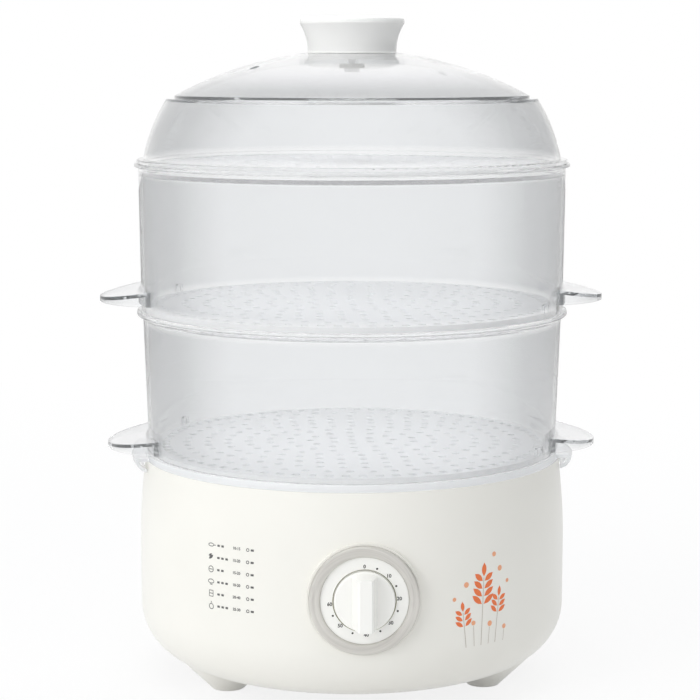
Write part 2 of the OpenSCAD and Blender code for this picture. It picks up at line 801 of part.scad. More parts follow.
// Terminal block on the seat of the bottom cover, behind the heater
module terminal_block() {
    color("#d8d4c8") translate([-block_size[0] / 2, block_y, block_z]) difference() {
        cube(block_size);
        for (i = [0 : 2]) translate([block_size[0] * (i + 0.5) / 3, 0, 0]) {
            translate([0, -cut, 4]) rotate([-90, 0, 0])
                cylinder(r = 1.4, h = block_size[1] + 2 * cut, $fn = 24);
            translate([0, block_size[1] / 2, 6]) cylinder(r = 2, h = 5, $fn = 24);
        }
    }
}

// Four wires: block to timer, block to element, timer to thermostat, fuse to element
module wiring() {
    side_x = block_size[0] / 3;
    port = [side_x, block_y - 0.3, block_z + 4];
    color("#3f6fa8") wire(concat([port, port + [3, -6, 1]], arc_path(wire_run_r, 70, -75, wire_run_z, 8),
                                 [[timer_blade_x + 4, timer_blade_y + 6, timer_blade_z + 2],
                                  [timer_blade_x + 1.8, timer_blade_y, timer_blade_z + 2]]));
    color("#a03a32") wire(concat([[-port[0], port[1], port[2]], [-port[0] - 3, port[1] - 6, port[2] + 1]],
                                 arc_path(wire_run_r, 110, 235, wire_run_z, 7),
                                 [[leg_places[0][0] - 12, leg_places[0][1] - 8, leg_z - 3],
                                  [leg_places[0][0] - pin_r - wire_r, leg_places[0][1], leg_z - 3]]));
    color("#c9c5bc") wire([[-timer_blade_x - 1.8, timer_blade_y, timer_blade_z + 2],
                           [-timer_blade_x - 5, timer_blade_y + 9, timer_blade_z - 1],
                           [-24, -wire_run_r - 6, wire_run_z - 3], [-6, -wire_run_r + 8, wire_run_z - 6],
                           [-2, -34, thermostat_z - 8], [-5.8, -12, thermostat_z - 6],
                           [-5.8, 0, thermostat_z - 5]]);
    color("#c9c5bc") wire([[fuse_x + fuse_len / 2 + 4.2, 0, fuse_z], [fuse_x + fuse_len / 2 + 6, 0, fuse_z],
                           [fuse_x + fuse_len / 2 + 8, -5, fuse_z - 1], [fuse_x + 6, -18, fuse_z - 2],
                           [leg_places[1][0] + 9, leg_places[1][1] - 1, leg_z - 3],
                           [leg_places[1][0] + pin_r + wire_r, leg_places[1][1], leg_z - 3]]);
}

// Clear drip tray with a steam chimney, a lip round the basket's foot and two lifting ears
module tray_profile() {
    top = tray_z + tray_flange_t;
    wall = tray_wall;
    corner_c = [tray_r - wall - tray_corner_r, tray_floor_z + wall + tray_corner_r];
    span_box([tray_r - wall, tray_z], [tray_flange_r, top]);
    span_box([tray_flange_r - wall, tray_z], [tray_flange_r, top + tray_lip_h]);
    span_box([tray_r - wall, corner_c[1]], [tray_r, top]);
    arc_band(corner_c, tray_corner_r + wall, tray_corner_r,
             [corner_c[0], corner_c[1] - tray_corner_r - wall], [tray_r, corner_c[1]]);
    span_box([chimney_r - wall, tray_floor_z], [corner_c[0], tray_floor_z + wall]);
    span_box([chimney_r - wall, tray_floor_z], [chimney_r, tray_floor_z + chimney_h]);
}

module drip_tray() {
    top = tray_z + tray_flange_t;
    ear_r = tray_flange_r + ear_reach;
    color("#dfe4e6") {
        rotate_extrude() tray_profile();
        for (side = [0, 180]) rotate(side - ear_span / 2) rotate_extrude(angle = ear_span) {
            span_box([tray_flange_r - 0.5, tray_z], [ear_r - tray_wall / 2, top]);
            arc_band([tray_flange_r, top], ear_reach, ear_reach - tray_wall,
                     [base_top_r + ear_gap, top - ear_reach], [ear_r, top]);
        }
    }
}

// Wall and rim of a basket in profile: the rim has a thickness at its edge, a sloped underside, and a
// rebate that leaves a ledge for what stands on the basket
module basket_profile(z, top, foot, wall_r, rim_r, rim_t, rim_slope, seat_r, seat_z, ledge_r) {
    in_r = wall_r - clear_wall;
    under = seat_z - rim_ledge_t;
    polygon(concat([[foot - clear_wall, z], [foot, z], [wall_r, top - rim_t - rim_slope],
                    [rim_r - 0.3, top - rim_t], [rim_r, top - rim_t + 0.3], [rim_r, top - 0.6],
                    [rim_r - 0.6, top], [seat_r + 0.4, top], [seat_r, top - 0.4], [seat_r, seat_z],
                    [ledge_r, seat_z]],
                   ledge_r < in_r ? [[ledge_r, under], [in_r, under - in_r + ledge_r]] : []));
}

// Ledge inside a basket's foot on which its perforated floor lies
module floor_ledge(z, foot, floor_rise) {
    top = z + floor_rise - floor_rim;
    span_box([foot - clear_wall - ledge_w, top - 1.8], [foot - clear_wall / 2, top]);
}

// Crescent handle in plan, drawn in by an inset
module handle_outline(foot, inset) {
    chord_x = sqrt(foot * foot - handle_len * handle_len / 4);
    rise = foot + handle_reach - chord_x;
    arc_r = (handle_len * handle_len / 4 + rise * rise) / (2 * rise);
    difference() {
        translate([chord_x + rise - arc_r, 0]) circle(r = arc_r - inset, $fn = 180);
        circle(r = foot - clear_wall / 2, $fn = 180);
        translate([-2 * base_r, -base_r]) square([2 * base_r, 2 * base_r]);
    }
}

// Wedge under a handle's sloped top, from one height up to an edge height at the tip
module handle_wedge(foot, low, edge_top) {
    tip = foot + handle_reach;
    translate([0, base_r, 0]) rotate([90, 0, 0]) linear_extrude(2 * base_r)
        polygon([[0, low], [tip + cut, low], [tip + cut, edge_top - cut * tan(handle_slope)],
                 [0, edge_top + tip * tan(handle_slope)]]);
}

// Handle with its lower edge at z: a sloped plate with a turned-down edge, hollow from below
module handle(foot, z) {
    top = z + handle_edge;
    reach_h = handle_edge + (handle_reach + foot) * tan(handle_slope);
    difference() {
        intersection() {
            translate([0, 0, z]) linear_extrude(reach_h) handle_outline(foot, 0);
            handle_wedge(foot, z, top);
        }
        intersection() {
            translate([0, 0, z - cut]) linear_extrude(reach_h) difference() {
                handle_outline(foot, clear_wall);
                circle(r = foot + 1.6, $fn = 180);
            }
            handle_wedge(foot, z - cut, top - clear_wall);
        }
    }
}

// Arched catch on the inside of a basket, over its perforated floor
module catch(wall_r, z) {
    translate([wall_r, 0, z]) rotate([90, 0, -90]) linear_extrude(catch_t + 1) difference() {
        union() {
            translate([-catch_w / 2, 0]) square([catch_w, catch_h - 1.5]);
            translate([-catch_w / 2 + 1.5, 0]) square([catch_w - 3, catch_h]);
            for (side = [-1, 1])
                translate([side * (catch_w / 2 - 1.5), catch_h - 1.5]) circle(r = 1.5, $fn = 24);
        }
        translate([-catch_w / 2 + 1, -cut]) square([catch_w - 2, catch_h - 1 + cut]);
    }
}

// Handles and catches of a basket round its wall profile, bored for its perforated floor
module basket(z, foot, floor_rise, handle_z) {
    color("#dfe4e6") {
        difference() {
            union() {
                rotate_extrude() {
                    children();
                    floor_ledge(z, foot, floor_rise);
                }
                for (side = [0, 180]) rotate(side) handle(foot, handle_z);
            }
            translate([0, 0, z + floor_rise - floor_rim]) cylinder(r = foot - clear_wall, h = 8);
        }
        for (angle = catch_angles) rotate(angle)
            catch(foot - clear_wall + 0.8, z + floor_rise + 0.2);
    }
}

// Steam holes of a perforated floor: rings of round holes inside one ring of slots
module steam_holes(r) {
    slots = ring_count(r, slot_pitch);
    rings = floor((r - 7) / hole_pitch);
    for (i = [0 : slots - 1]) rotate(i * 360 / slots) translate([r, 0])
        square([2 * hole_r, slot_pitch * 0.52], center = true);
    circle(r = hole_r, $fn = 24);
    for (k = [1 : rings]) {
        count = ring_count(k * hole_pitch, hole_pitch);
        for (i = [0 : count - 1]) rotate((i + k / 2) * 360 / count) translate([k * hole_pitch, 0])
            circle(r = hole_r, $fn = 24);
    }
}

// Removable perforated floor: a sheet with steam holes inside a deeper rim
module perforated_floor(r, top) {
    color("#eceeee") {
        translate([0, 0, top - floor_t]) linear_extrude(floor_t) difference() {
            circle(r = r);
            steam_holes(r - 6.6);
        }
        rotate_extrude() span_box([r - 2.6, top - floor_rim + seat / 2], [r, top - floor_t / 2]);
    }
}

module lower_basket() {
    wall_r = lower_foot_r + lower_flare;
    basket(lower_z, lower_foot_r, lower_floor_rise, tray_z + tray_flange_t + tray_lip_h + lower_handle_gap)
        basket_profile(lower_z, lower_z + lower_h, lower_foot_r, wall_r, lower_rim_r, lower_rim_t,
                       lower_rim_slope, lower_seat_r, lower_seat_z, wall_r - clear_wall);
}

module lower_floor() {
    perforated_floor(lower_foot_r - clear_wall - slip, lower_z + lower_floor_rise);
}

module upper_basket() {
    basket(upper_z, upper_foot_r, upper_floor_rise, lower_z + lower_h + upper_handle_gap)
        basket_profile(upper_z, upper_z + upper_h, upper_foot_r, upper_foot_r + upper_flare,
                       upper_rim_r, upper_rim_t, upper_rim_slope,
                       upper_seat_r, upper_seat_z, upper_seat_r - rim_ledge_w);
}

module upper_floor() {
    perforated_floor(upper_foot_r - clear_wall - slip, upper_z + upper_floor_rise);
}

// Perforated plate in the upper basket's rim, raised level with the rim inside its flange
module top_plate() {
    sheet_r = lid_lip_r - 4.2;
    color("#eceeee") {
        translate([0, 0, top_sheet_z - floor_t]) linear_extrude(floor_t) difference() {
            circle(r = sheet_r);
            steam_holes(sheet_r - 6.6);
        }
        rotate_extrude() {
            span_box([sheet_r - 2, top_plate_z], [upper_seat_r - slip, top_plate_z + top_flange_t]);
            span_box([sheet_r - 2, top_plate_z], [sheet_r, top_sheet_z - floor_t / 2]);
        }
    }
}

// Clear stepped lid: flange with a locating lip, bulging side, ledge, dome and knob seat
module lid_profile() {
    wall = clear_wall;
    foot = [lid_foot_r, lid_z + lid_flange_t];
    shoulder = [lid_shoulder_r, lid_z + lid_side_h];
    side_c = arc_centre(foot, shoulder, lid_side_r);
    seat_in_z = knob_seat_z - wall;
    span_box([lid_foot_r - wall, lid_z], [lid_flange_r - 0.7, lid_z + lid_flange_t]);
    span_box([lid_foot_r - wall, lid_z], [lid_flange_r, lid_z + lid_flange_t - 0.7]);
    translate([lid_flange_r - 0.7, lid_z + lid_flange_t - 0.7]) circle(r = 0.7, $fn = 32);
    span_box([lid_lip_r - 1.6, lid_z - 1.4], [lid_lip_r, lid_z + 1]);
    arc_band(side_c, lid_side_r, lid_side_r - wall, [lid_shoulder_r - wall, lid_z + 1],
             [lid_flange_r, lid_z + lid_side_h]);
    span_box([dome_edge_r - wall, lid_z + lid_side_h - wall], [lid_shoulder_r, lid_z + lid_side_h]);
    span_box([dome_edge_r - wall, lid_z + lid_side_h - wall], [dome_edge_r, dome_edge_z - 0.3]);
    arc_band(dome_c, dome_r, dome_r - wall, [knob_recess_r - wall, lid_z + lid_side_h - wall],
             [dome_edge_r, dome_c[1] + dome_r]);
    span_box([knob_recess_r - wall, seat_in_z], [knob_recess_r, knob_seat_z + lid_knob_sink - wall / 2]);
    span_box([lid_screw_r + 0.3, seat_in_z], [knob_recess_r, knob_seat_z]);
}

module lid() {
    color("#dfe4e6") difference() {
        rotate_extrude() lid_profile();
        for (angle = [30, 210]) rotate(angle) translate([62, 0, knob_seat_z - 30])
            cylinder(r = vent_r, h = 50);
    }
}

// White waisted knob, hollow from below with a screw post
module lid_knob() {
    waist_z = lid_knob_band_h + 0.8;
    flare_h = lid_knob_h - waist_z - lid_knob_round - 1;
    flare_w = lid_knob_head_r - lid_knob_waist_r;
    flare_r = (flare_h * flare_h + flare_w * flare_w) / (2 * flare_w);
    head_z = waist_z + flare_h;
    crown_c = lid_knob_h - 260;
    color("#f4f3f0") translate([0, 0, knob_z]) rotate_extrude() difference() {
        intersection() {
            union() {
                polygon([[0, 0], [lid_knob_foot_r, 0], [lid_knob_foot_r, 1.2],
                         [lid_knob_waist_r + 0.8, lid_knob_band_h - 0.6],
                         [lid_knob_waist_r, lid_knob_band_h], [lid_knob_waist_r, waist_z], [0, waist_z]]);
                difference() {
                    span_box([0, lid_knob_band_h], [lid_knob_head_r, head_z]);
                    translate([lid_knob_waist_r + flare_r, waist_z]) circle(r = flare_r, $fn = 180);
                    span_box([lid_knob_waist_r, 0], [lid_knob_head_r + cut, waist_z]);
                }
                span_box([0, head_z], [lid_knob_head_r - lid_knob_round, lid_knob_h]);
                span_box([0, head_z - 0.1], [lid_knob_head_r, head_z + 1]);
                translate([lid_knob_head_r - lid_knob_round, head_z + 1])
                    intersection() {
                        circle(r = lid_knob_round, $fn = 64);
                        square(2 * lid_knob_round);
                    }
            }
            translate([0, crown_c]) circle(r = 260, $fn = 720);
        }
        difference() {
            span_box([-cut, -cut], [lid_knob_waist_r - lid_knob_wall, lid_knob_h - lid_knob_wall - 1.5]);
            span_box([-2 * cut, 0], [5, lid_knob_h]);
        }
        span_box([-cut, -cut], [lid_screw_r - 0.1 + 0.15, 14]);
    }
}

// Screw through the lid into the knob
module knob_screw() {
    head_z = knob_seat_z - clear_wall - washer_t;
    color("#a9abad") translate([0, 0, head_z]) difference() {
        screw_up(lid_screw_r, 4.2, 2.2, 15);
        translate([-3, -0.5, -2.2 - cut]) cube([6, 1, cut + 1]);
    }
}

// Silicone washer under the screw's head
module knob_washer() {
    color("#dcd8d0") translate([0, 0, knob_seat_z - clear_wall - washer_t]) difference() {
        cylinder(r = 7, h = washer_t);
        translate([0, 0, -cut]) cylinder(r = lid_screw_r + snug, h = washer_t + 2 * cut);
    }
}

base_housing();
foot_pads();
bottom_cover();
cover_screws();
water_tank();
heater_seal();
heating_plate();
heating_element();
heater_screws();
thermostat();
thermostat_clip();
thermal_fuse();
steam_ring();
timer_bezel();
dial_plate();
timer_body();
timer_bell();
timer_screws();
timer_shaft();
timer_knob();
cord_gland();
gland_nut();
terminal_block();
wiring();
drip_tray();
lower_basket();
lower_floor();
upper_basket();
upper_floor();
top_plate();
lid();
lid_knob();
knob_screw();
knob_washer();
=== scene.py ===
"""Looks for the electric food steamer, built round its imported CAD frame. Units are metres. The
origin is on the vertical axis at table height; the dial faces -Y and the handles lie along X."""

import math

import bpy
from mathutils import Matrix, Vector


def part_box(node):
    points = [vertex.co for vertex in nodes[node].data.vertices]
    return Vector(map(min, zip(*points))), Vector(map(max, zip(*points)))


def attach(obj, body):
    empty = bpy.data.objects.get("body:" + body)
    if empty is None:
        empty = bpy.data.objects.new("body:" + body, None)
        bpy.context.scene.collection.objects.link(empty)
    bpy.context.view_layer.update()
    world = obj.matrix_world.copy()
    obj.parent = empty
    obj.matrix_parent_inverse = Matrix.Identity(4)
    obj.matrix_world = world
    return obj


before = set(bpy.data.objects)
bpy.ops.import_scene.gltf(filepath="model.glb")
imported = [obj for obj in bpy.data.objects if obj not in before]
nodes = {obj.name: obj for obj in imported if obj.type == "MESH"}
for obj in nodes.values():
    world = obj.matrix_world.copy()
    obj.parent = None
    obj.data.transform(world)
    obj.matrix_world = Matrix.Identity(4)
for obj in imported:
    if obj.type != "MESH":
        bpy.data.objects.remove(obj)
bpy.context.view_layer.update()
MM = 0.001
bpy.ops.object.select_all(action="DESELECT")

# ---------------------------------------------------------------------------------------------
# Studio: a white table in a white room, as for a catalogue picture of a kitchen appliance.
# The camera is a long lens a little above the steamer, turned a few degrees to its left.
CAMERA_TURN = math.radians(-3.0)
CAMERA_REACH = 1.1549
CAMERA_HEIGHT = 0.3395
CAMERA_TILT = math.radians(7.8)
CAMERA_LENS = 106.97
AXIS_SHIFT = 0.0011
STEAMER_MIDDLE = Vector((0, 0, 0.16))
TABLE_SIZE = 9
LIGHT_BOUNCES = 32
MIRROR_BOUNCES = 24


def linear(hex_colour):
    """Linear RGBA of an sRGB hex colour."""
    parts = [int(hex_colour[i : i + 2], 16) / 255 for i in (1, 3, 5)]
    return [c / 12.92 if c <= 0.04045 else ((c + 0.055) / 1.055) ** 2.4 for c in parts] + [1.0]


def add(tree, kind, links=None, **settings):
    """A new node of a kind. Each link sets an input to a value or to another node's output."""
    made = tree.nodes.new(kind)
    for key, value in settings.items():
        setattr(made, key, value)
    for key, value in (links or {}).items():
        if isinstance(value, bpy.types.NodeSocket):
            tree.links.new(value, made.inputs[key])
        else:
            made.inputs[key].default_value = value
    return made


def new_material(name):
    """An empty node material and its tree."""
    material = bpy.data.materials.new(name)
    material.use_nodes = True
    material.node_tree.nodes.clear()
    return material, material.node_tree


def stage_floor():
    """White paper: it keeps the object's soft shadow close by and is plain white further off."""
    bpy.ops.mesh.primitive_plane_add(size=TABLE_SIZE, location=(0, 0, 0))
    floor = bpy.context.object
    floor.name = "studio_floor"
    material, tree = new_material("studio_paper_white")
    path = add(tree, "ShaderNodeLightPath")
    place = add(tree, "ShaderNodeTexCoord").outputs["Object"]
    reach = add(tree, "ShaderNodeVectorMath", {0: place}, operation="LENGTH").outputs["Value"]
    share = add(tree, "ShaderNodeMapRange", {
        "Value": reach, "From Min": 0.35, "From Max": 1.1,
        "To Min": 0.84, "To Max": 1.0}).outputs[0]
    mirrored = add(tree, "ShaderNodeMapRange", {
        "Value": reach, "From Min": 0.5, "From Max": 1.3,
        "To Min": 0.95, "To Max": 0.5}).outputs[0]
    straight = add(tree, "ShaderNodeMath", {
        0: path.outputs["Is Camera Ray"], 1: path.outputs["Is Transmission Ray"]},
        operation="MAXIMUM").outputs[0]
    seen = add(tree, "ShaderNodeMath", {0: straight, 1: path.outputs["Is Glossy Ray"]},
               operation="MAXIMUM")
    weight = add(tree, "ShaderNodeMath", {0: seen.outputs[0], 1: share}, operation="MULTIPLY")
    level = add(tree, "ShaderNodeMix", {0: straight, 2: mirrored, 3: 1.0}, data_type="FLOAT")
    paper = add(tree, "ShaderNodeBsdfDiffuse", {"Color": linear("#F2F2F2")})
    glow = add(tree, "ShaderNodeEmission", {"Color": (1, 1, 1, 1), "Strength": level.outputs[0]})
    mix = add(tree, "ShaderNodeMixShader", {
        0: weight.outputs[0], 1: paper.outputs[0], 2: glow.outputs[0]})
    add(tree, "ShaderNodeOutputMaterial", {"Surface": mix.outputs[0]})
    floor.data.materials.append(material)


def studio_world():
    """White to the camera and through glass. Reflections see it fade towards the two sides."""
    world = bpy.data.worlds.new("studio_room")
    bpy.context.scene.world = world
    world.use_nodes = True
    tree = world.node_tree
    tree.nodes.clear()
    path = add(tree, "ShaderNodeLightPath")
    way = add(tree, "ShaderNodeTexCoord")
    part = add(tree, "ShaderNodeSeparateXYZ", {0: way.outputs["Generated"]})
    sideways = add(tree, "ShaderNodeMath", {0: part.outputs["X"]}, operation="ABSOLUTE")
    fade = add(tree, "ShaderNodeMapRange", {
        "Value": sideways.outputs[0], "From Min": 0.25, "From Max": 0.9,
        "To Min": 1.0, "To Max": 0.4})
    shade = add(tree, "ShaderNodeMapRange", {
        "Value": part.outputs["X"], "From Min": 0.2, "From Max": 0.9,
        "To Min": 1.0, "To Max": 0.6})
    dimmed = add(tree, "ShaderNodeMath", {0: fade.outputs[0], 1: shade.outputs[0]},
                 operation="MULTIPLY")
    daylight = add(tree, "ShaderNodeMapRange", {
        "Value": part.outputs["X"], "From Min": -0.9, "From Max": 0.9,
        "To Min": 0.76, "To Max": 0.58})
    room = add(tree, "ShaderNodeBackground", {
        "Color": (0.96, 0.98, 1.0, 1), "Strength": daylight.outputs[0]})
    mirror = add(tree, "ShaderNodeBackground", {
        "Color": (1, 1, 1, 1), "Strength": dimmed.outputs[0]})
    white = add(tree, "ShaderNodeBackground", {"Color": (1, 1, 1, 1), "Strength": 1.0})
    straight = add(tree, "ShaderNodeMath", {
        0: path.outputs["Is Camera Ray"], 1: path.outputs["Is Transmission Ray"]},
        operation="MAXIMUM")
    first = add(tree, "ShaderNodeMixShader", {
        0: path.outputs["Is Glossy Ray"], 1: room.outputs[0], 2: mirror.outputs[0]})
    last = add(tree, "ShaderNodeMixShader", {
        0: straight.outputs[0], 1: first.outputs[0], 2: white.outputs[0]})
    add(tree, "ShaderNodeOutputWorld", {"Surface": last.outputs[0]})


def soft_box(name, place, size, watts):
    """A large lamp that faces the steamer's middle. It lights, and reflections don't show it."""
    light = bpy.data.lights.new(name, "AREA")
    light.shape = "RECTANGLE"
    light.size, light.size_y = size
    light.energy = watts
    box = bpy.data.objects.new(name, light)
    box.location = place
    box.rotation_euler = (STEAMER_MIDDLE - Vector(place)).to_track_quat("-Z", "Y").to_euler()
    box.visible_glossy = False
    box.visible_transmission = False
    bpy.context.scene.collection.objects.link(box)


stage_floor()
studio_world()
soft_box("window_left", (-1.5, -1.3, 0.9), (1.0, 1.4), 13.5)
soft_box("box_top", (-0.2, -0.5, 1.9), (1.2, 1.0), 8)
soft_box("box_behind", (0.5, 1.6, 1.1), (1.6, 1.0), 10)
bpy.context.scene.view_settings.view_transform = "Standard"

# The clear mouldings stand one behind another, so light passes many walls on its way to the eye.
light_paths = bpy.context.scene.cycles
light_paths.max_bounces = LIGHT_BOUNCES
light_paths.transmission_bounces = LIGHT_BOUNCES
light_paths.transparent_max_bounces = LIGHT_BOUNCES
light_paths.glossy_bounces = MIRROR_BOUNCES

eye = bpy.data.cameras.new("catalogue_camera")
eye.lens = CAMERA_LENS
eye.clip_end = 20
camera = bpy.data.objects.new("catalogue_camera", eye)
side = Vector((math.cos(CAMERA_TURN), math.sin(CAMERA_TURN), 0))
camera.location = (Vector((math.sin(CAMERA_TURN), -math.cos(CAMERA_TURN), 0)) * CAMERA_REACH
                   + Vector((0, 0, CAMERA_HEIGHT)) - side * AXIS_SHIFT)
camera.rotation_euler = (math.radians(90) - CAMERA_TILT, 0, CAMERA_TURN)
bpy.context.scene.collection.objects.link(camera)
bpy.context.scene.camera = camera

# ---------------------------------------------------------------------------------------------
# Base housing and bottom cover: injection-moulded polypropylene, warm white. The mould was lightly
# polished, so the walls are satin with a very fine orange peel and a slight drift of gloss.
def moulded_plastic(name, hex_colour, hex_shade, roughness, peel_mm=0.9, peel_depth=0.004,
                    ior=1.49):
    """Opaque moulded plastic or rubber: slight drift of colour and gloss, and a fine orange peel.
    peel_mm is the peel's grain and peel_depth its depth, both in millimetres."""
    material, tree = new_material(name)
    place = add(tree, "ShaderNodeTexCoord").outputs["Object"]
    drift = add(tree, "ShaderNodeTexNoise", {"Vector": place, "Scale": 22.0, "Detail": 2.0})
    colour = add(tree, "ShaderNodeMix", {
        0: drift.outputs[0], 6: linear(hex_colour), 7: linear(hex_shade)}, data_type="RGBA")
    gloss = add(tree, "ShaderNodeMapRange", {
        "Value": drift.outputs[0], "To Min": roughness - 0.05, "To Max": roughness + 0.05})
    peel = add(tree, "ShaderNodeTexNoise", {
        "Vector": place, "Scale": 1000 / peel_mm, "Detail": 1.0})
    bump = add(tree, "ShaderNodeBump", {
        "Height": peel.outputs[0], "Strength": 0.5, "Distance": peel_depth * MM})
    skin = add(tree, "ShaderNodeBsdfPrincipled", {
        "Base Color": colour.outputs[2], "Roughness": gloss.outputs[0], "IOR": ior,
        "Normal": bump.outputs[0]})
    add(tree, "ShaderNodeOutputMaterial", {"Surface": skin.outputs[0]})
    return material


def paint(material, *names):
    """Gives CAD nodes a material in place of the plain one."""
    for name in names:
        slots = nodes[name].data.materials
        slots.clear()
        slots.append(material)


housing_pp = moulded_plastic("polypropylene_warm_white", "#F3F1EA", "#EFEDE6", 0.30)
paint(housing_pp, "base_housing", "bottom_cover")

# Foot pads: grey natural rubber, pushed into the feet. Dull, with a coarser skin than the housing.
pad_rubber = moulded_plastic("rubber_grey", "#8C8C8A", "#808080", 0.75, peel_mm=0.6,
                             peel_depth=0.03)
paint(pad_rubber, "foot_pads")


# Screws: zinc-plated steel. The plating is pale and cloudy at a scale of about a millimetre.
def bare_metal(name, hex_colour, roughness, grain_mm, along=(1.0, 1.0, 1.0), depth=0.01):
    """Metal with a grain: cloudy where it is even, drawn or turned where along stretches it."""
    material, tree = new_material(name)
    place = add(tree, "ShaderNodeTexCoord").outputs["Object"]
    turned = add(tree, "ShaderNodeMapping", {"Vector": place, "Scale": along})
    grain = add(tree, "ShaderNodeTexNoise", {
        "Vector": turned.outputs[0], "Scale": 1000 / grain_mm, "Detail": 3.0})
    gloss = add(tree, "ShaderNodeMapRange", {
        "Value": grain.outputs[0], "From Min": 0.3, "From Max": 0.7,
        "To Min": roughness - 0.06, "To Max": roughness + 0.08})
    bump = add(tree, "ShaderNodeBump", {
        "Height": grain.outputs[0], "Strength": 0.4, "Distance": depth * MM})
    skin = add(tree, "ShaderNodeBsdfPrincipled", {
        "Base Color": linear(hex_colour), "Metallic": 1.0, "Roughness": gloss.outputs[0],
        "Normal": bump.outputs[0]})
    add(tree, "ShaderNodeOutputMaterial", {"Surface": skin.outputs[0]})
    return material


zinc_steel = bare_metal("zinc_plated_steel", "#C9CACB", 0.32, 1.2)
paint(zinc_steel, "cover_screws", "heater_screws", "timer_screws")

# ---------------------------------------------------------------------------------------------
# Print on the housing: one pass of grey ink for the steaming times at the left of the dial, and
# generic sprigs in orange at its right. Pad printed, so it lies on the wall as a thin matt film.
# It is drawn flat in millimetres, cut both ways every FILM_CUT so that it bends, and laid on.
WALL_R = 119 * MM
FILM = 0.05 * MM
FILM_CUT = 2 * MM
RAY_START = 20 * MM
LINE = 0.4
FIGURE_SHARE = 0.73


def printing_ink(name, hex_colour, hex_shade, cloud_mm=1.6):
    """Pad-printing ink: matt, and a little thinner in places, which shows as faint clouds."""
    material, tree = new_material(name)
    place = add(tree, "ShaderNodeTexCoord").outputs["Object"]
    cloud = add(tree, "ShaderNodeTexNoise", {
        "Vector": place, "Scale": 1000 / cloud_mm, "Detail": 2.0})
    colour = add(tree, "ShaderNodeMix", {
        0: cloud.outputs[0], 6: linear(hex_colour), 7: linear(hex_shade)}, data_type="RGBA")
    skin = add(tree, "ShaderNodeBsdfPrincipled", {
        "Base Color": colour.outputs[2], "Roughness": 0.5, "IOR": 1.5})
    add(tree, "ShaderNodeOutputMaterial", {"Surface": skin.outputs[0]})
    return material


def flat_mesh():
    """Makes the active curve or text a mesh and leaves its place in the mesh."""
    bpy.ops.object.convert(target="MESH")
    bpy.ops.object.transform_apply(location=True, rotation=True, scale=True)
    made = bpy.context.object
    made.select_set(False)
    return made


def disc(at, radius, sides=20):
    """Flat round dot; at is its place across and up, in millimetres."""
    bpy.ops.mesh.primitive_circle_add(vertices=sides, radius=radius * MM, fill_type="NGON",
                                      location=(at[0] * MM, at[1] * MM, 0))
    return flat_mesh()


def loop(at, radius, line=LINE, sides=40, squash=1.0):
    """Flat line round a circle or an oval."""
    bpy.ops.mesh.primitive_circle_add(vertices=sides, radius=radius * MM, fill_type="NGON",
                                      location=(at[0] * MM, at[1] * MM, 0))
    bpy.ops.object.mode_set(mode="EDIT")
    bpy.ops.transform.resize(value=(1, squash, 1))
    bpy.ops.mesh.inset(thickness=line * MM)
    bpy.ops.mesh.delete(type="FACE")
    bpy.ops.object.mode_set(mode="OBJECT")
    return flat_mesh()


def stroke(start, end, width=LINE):
    """Flat straight line between two places."""
    across, up = end[0] - start[0], end[1] - start[1]
    middle = ((start[0] + end[0]) / 2 * MM, (start[1] + end[1]) / 2 * MM, 0)
    bpy.ops.mesh.primitive_plane_add(size=1, location=middle,
                                     rotation=(0, 0, math.atan2(up, across)))
    bpy.context.object.scale = (math.hypot(across, up) * MM, width * MM, 1)
    return flat_mesh()


def leaf(at, length, width, turn):
    """Flat pointed leaf that starts at a place and lies at an angle in degrees."""
    bpy.ops.curve.primitive_bezier_circle_add(radius=0.5, location=(at[0] * MM, at[1] * MM, 0),
                                              rotation=(0, 0, math.radians(turn)))
    blade = bpy.context.object
    blade.scale = (length * MM, width * MM, 1)
    blade.data.dimensions = "2D"
    blade.data.fill_mode = "BOTH"
    blade.data.resolution_u = 6
    for point in blade.data.splines[0].bezier_points:
        tip = abs(point.co.x) > 0.4
        point.select_control_point = tip
        point.select_left_handle = tip
        point.select_right_handle = tip
    bpy.ops.object.mode_set(mode="EDIT")
    bpy.ops.curve.handle_type_set(type="VECTOR")
    bpy.ops.curve.select_all(action="SELECT")
    bpy.ops.transform.translate(value=(math.cos(math.radians(turn)) * length / 2 * MM,
                                       math.sin(math.radians(turn)) * length / 2 * MM, 0))
    bpy.ops.object.mode_set(mode="OBJECT")
    return flat_mesh()


def digits(at, body, height, bolder):
    """Flat figures centred on a place, with their strokes widened by bolder on each side.
    A figure's height is FIGURE_SHARE of its type size."""
    bpy.ops.object.text_add(location=(at[0] * MM, at[1] * MM, 0))
    words = bpy.context.object.data
    words.body = body
    words.size = height / FIGURE_SHARE * MM
    words.align_x, words.align_y = "CENTER", "CENTER"
    words.resolution_u = 3
    words.offset = bolder * MM
    return flat_mesh()


